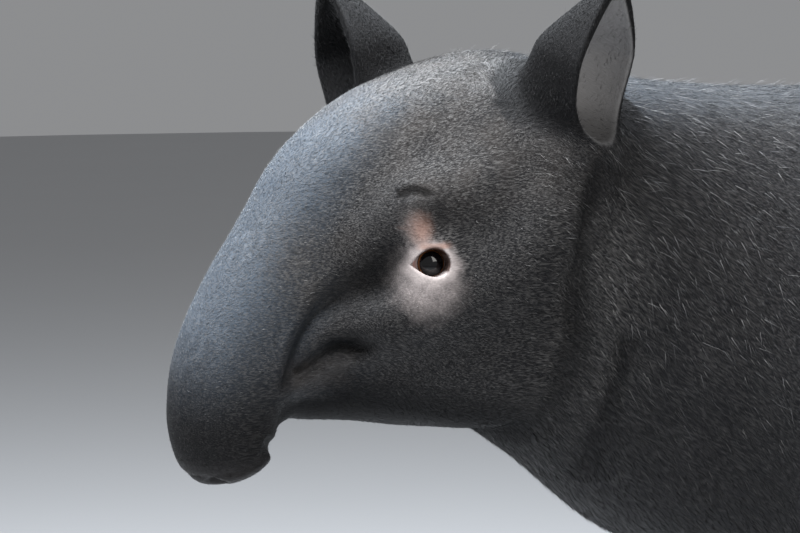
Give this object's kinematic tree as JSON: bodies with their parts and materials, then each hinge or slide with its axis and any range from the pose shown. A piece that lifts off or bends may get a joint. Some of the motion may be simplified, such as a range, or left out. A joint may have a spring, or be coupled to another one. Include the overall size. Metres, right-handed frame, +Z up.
{
  "type": "malayan tapir",
  "caption": "Life-size standing Malayan tapir with its head turned to its left, short trunk, rounded ears, hoofed toes and a pale saddle over a black body.",
  "frame": {"origin": "middle of the box of the whole animal at the level of its soles", "axes": "+X towards the tail, so the animal faces -X; +Y towards its right side; +Z up"},
  "size_m": [1.826, 0.4972, 1.0701],
  "materials": {
    "dark_coat": "short glossy black hair",
    "pale_coat": "short pale grey hair of the saddle",
    "ear_coat": "thin dark hair with a white tip and a bare grey inside",
    "eye": "wet dark brown",
    "hoof": "worn dark horn"
  },
  "bodies": {
    "root": {"ear_left": "ear_coat", "ear_right": "ear_coat", "eye_left": "eye", "eye_right": "eye", "front_foot_left": "dark_coat", "front_foot_right": "dark_coat", "front_leg_lower_left": "dark_coat", "front_leg_lower_right": "dark_coat", "front_leg_upper_left": "dark_coat", "front_leg_upper_right": "dark_coat", "head": "dark_coat", "hoof_front_left_1": "hoof", "hoof_front_left_2": "hoof", "hoof_front_left_3": "hoof", "hoof_front_left_4": "hoof", "hoof_front_right_1": "hoof", "hoof_front_right_2": "hoof", "hoof_front_right_3": "hoof", "hoof_front_right_4": "hoof", "hoof_rear_left_1": "hoof", "hoof_rear_left_2": "hoof", "hoof_rear_left_3": "hoof", "hoof_rear_right_1": "hoof", "hoof_rear_right_2": "hoof", "hoof_rear_right_3": "hoof", "lower_jaw": "dark_coat", "neck": "dark_coat", "rear_foot_left": "dark_coat", "rear_foot_right": "dark_coat", "rear_leg_lower_left": "dark_coat", "rear_leg_lower_right": "dark_coat", "rear_leg_upper_left": "dark_coat", "rear_leg_upper_right": "dark_coat", "shoulders": "dark_coat", "tail": "dark_coat", "torso": "pale_coat", "trunk": "dark_coat"}
  },
  "joints": []
}
